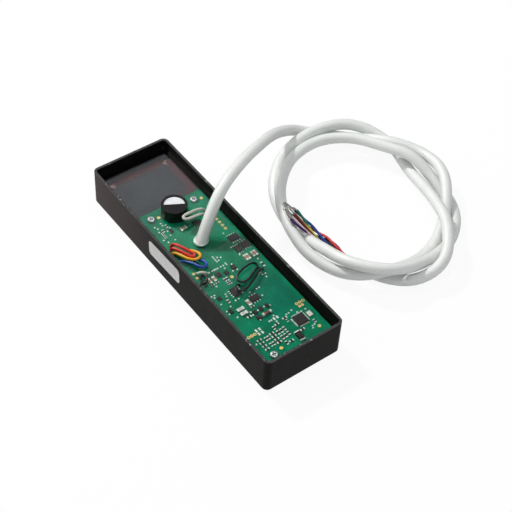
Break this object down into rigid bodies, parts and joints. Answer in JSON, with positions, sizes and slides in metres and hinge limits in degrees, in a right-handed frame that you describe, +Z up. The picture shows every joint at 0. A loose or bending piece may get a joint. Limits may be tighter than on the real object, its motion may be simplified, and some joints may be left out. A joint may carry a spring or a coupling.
{
  "type": "embedded card reader",
  "caption": "Slim resin-filled card reader seen from its open back, with boards, buzzer and wire loops in a black tray and a white cable coiled beside it.",
  "frame": {"origin": "centre of the flat front face of the tray, which lies on the floor", "axes": "+X along the tray away from its antenna end, +Y across it towards the coiled cable, +Z up out of the open back"},
  "size_m": [0.145, 0.1574, 0.0375],
  "materials": {
    "tray_plastic": "fine satin",
    "clear_resin": "clear and glossy",
    "green_board": "solder mask",
    "grey_board": "solder mask",
    "copper_track": "under lacquer",
    "gold_plate": "bright plated",
    "solder": "bright tinned",
    "screw_steel": "zinc plated",
    "chip_black": "moulded",
    "capacitor_tan": "dull",
    "capacitor_silver": "dull",
    "resistor_dark": "dull",
    "crystal_can": "bright",
    "diode_glass": "glossy",
    "buzzer_black": "satin",
    "buzzer_brass": "plain",
    "buzzer_white": "dull",
    "white_paper": "matt, blank",
    "light_body": "translucent",
    "pipe_clear": "clear",
    "cable_white": "smooth vinyl",
    "wire_red": "vinyl",
    "wire_yellow": "vinyl",
    "wire_blue": "vinyl",
    "wire_white": "vinyl",
    "wire_black": "vinyl",
    "wire_green": "vinyl",
    "wire_brown": "vinyl",
    "wire_pink": "vinyl",
    "wire_purple": "vinyl",
    "wire_striped": "vinyl, green with a yellow stripe",
    "tinned_copper": "tinned strands"
  },
  "bodies": {
    "root": {"antenna_board": "grey_board", "antenna_joints": "solder", "antenna_winding": "copper_track", "black_buried_loop": "wire_black", "black_wire_loop": "wire_black", "black_wire_ring": "wire_black", "blue_wire_loop": "wire_blue", "board_screws": "screw_steel", "buzzer_case": "buzzer_black", "buzzer_ceramic": "buzzer_white", "buzzer_disc": "buzzer_brass", "buzzer_pins": "solder", "buzzer_sticker": "white_paper", "cable_coil": "cable_white", "cable_driver_chip": "chip_black", "cable_entry": "cable_white", "cable_lead": "cable_white", "chip_leads": "solder", "chip_resistors": "resistor_dark", "conductor_black": "wire_black", "conductor_blue": "wire_blue", "conductor_brown": "wire_brown", "conductor_green": "wire_green", "conductor_pink": "wire_pink", "conductor_purple": "wire_purple", "conductor_red": "wire_red", "conductor_tips": "tinned_copper", "conductor_yellow": "wire_striped", "crystal": "crystal_can", "end_caps": "solder", "gold_rings": "gold_plate", "header_rings": "gold_plate", "housing_tray": "tray_plastic", "large_capacitors": "capacitor_silver", "light_pipe": "pipe_clear", "main_board": "green_board", "memory_chip": "chip_black", "microcontroller": "chip_black", "microcontroller_leads": "solder", "potting_resin": "clear_resin", "power_diode": "chip_black", "power_diode_tabs": "solder", "power_switch_chip": "chip_black", "radio_chip": "chip_black", "red_wire_loop": "wire_red", "regulator_chip": "chip_black", "resin_collar": "clear_resin", "round_diode": "diode_glass", "round_diode_caps": "solder", "side_label": "white_paper", "solder_dots": "solder", "solder_pads": "solder", "status_light": "light_body", "tan_capacitors": "capacitor_tan", "test_points": "gold_plate", "transistors": "chip_black", "white_wire_loop": "wire_white", "white_wire_stub": "wire_white", "yellow_wire_loop": "wire_yellow"}
  },
  "joints": []
}
